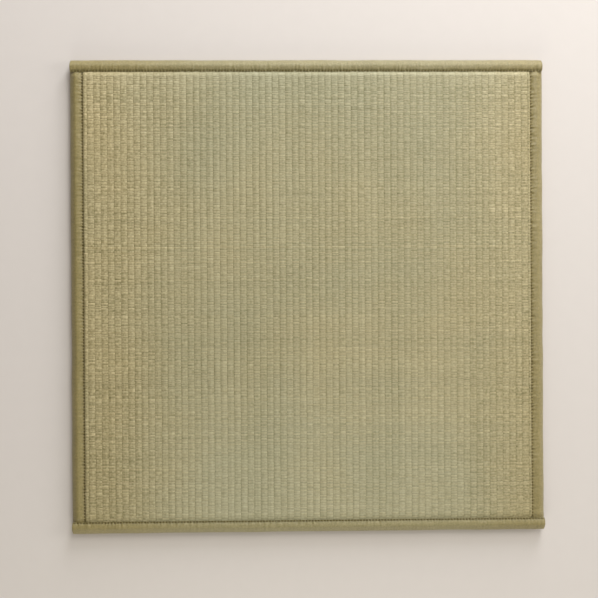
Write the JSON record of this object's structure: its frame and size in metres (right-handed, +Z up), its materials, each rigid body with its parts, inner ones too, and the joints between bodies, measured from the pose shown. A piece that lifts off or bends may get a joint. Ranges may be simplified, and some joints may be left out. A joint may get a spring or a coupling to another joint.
{
  "type": "tatami floor mat",
  "caption": "Square, stiff floor mat with a ribbed woven rush face, bound on its four edges with folded cloth tape.",
  "frame": {"origin": "centre of the mat's underside, on the floor", "axes": "+Z up out of the woven face, +Y along the ribs towards the head, +X along the rush towards the right-hand edge"},
  "size_m": [0.55, 0.548, 0.015],
  "materials": {
    "rush": "matt woven rush with a slight sheen",
    "binding": "matt olive cotton cloth"
  },
  "bodies": {
    "root": {"woven_mat": "rush", "binding_left": "binding", "binding_right": "binding", "binding_head": "binding", "binding_foot": "binding"}
  },
  "joints": []
}
